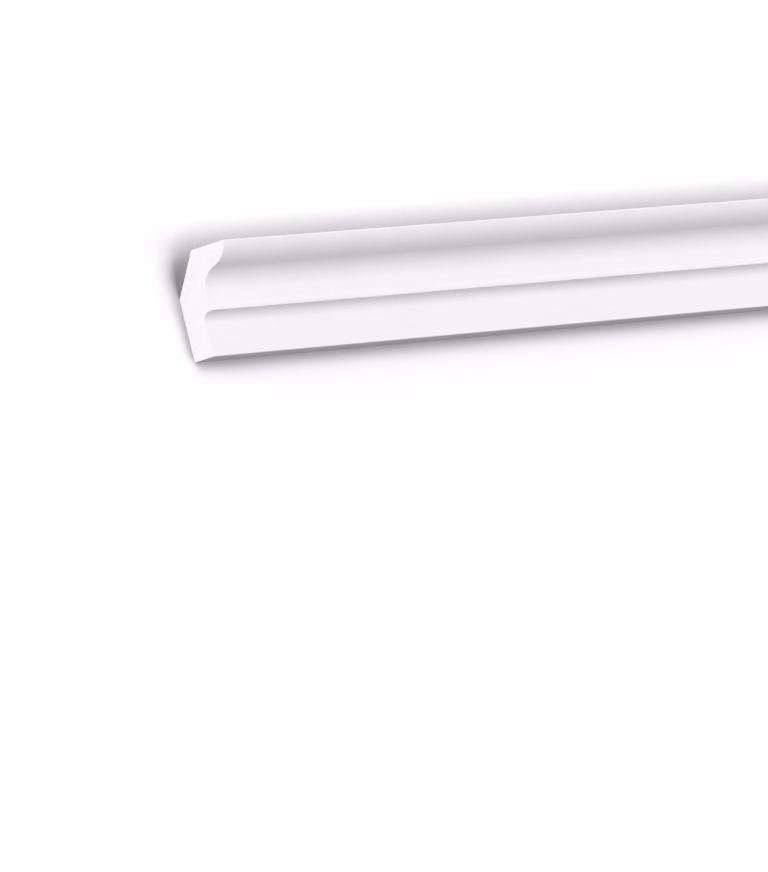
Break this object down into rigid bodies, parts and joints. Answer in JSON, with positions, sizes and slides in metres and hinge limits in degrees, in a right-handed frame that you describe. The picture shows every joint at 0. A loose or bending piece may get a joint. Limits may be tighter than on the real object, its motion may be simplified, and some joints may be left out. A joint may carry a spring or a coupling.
{
  "type": "cornice moulding",
  "caption": "Stock length of white rigid foam cornice: an ogee below the ceiling face, a projecting nose over a cavetto, plain flats and square sawn ends.",
  "frame": {"origin": "middle of the moulding's length and of its height, on the plane of its wall face", "axes": "+X along the length, +Y up the wall to the ceiling face, +Z out of the wall; stored lying on its wall face"},
  "size_m": [2, 0.07, 0.0449],
  "materials": {
    "primed_foam": "factory primer, white, satin-matt"
  },
  "bodies": {
    "root": {"cornice_moulding": "primed_foam"}
  },
  "joints": []
}
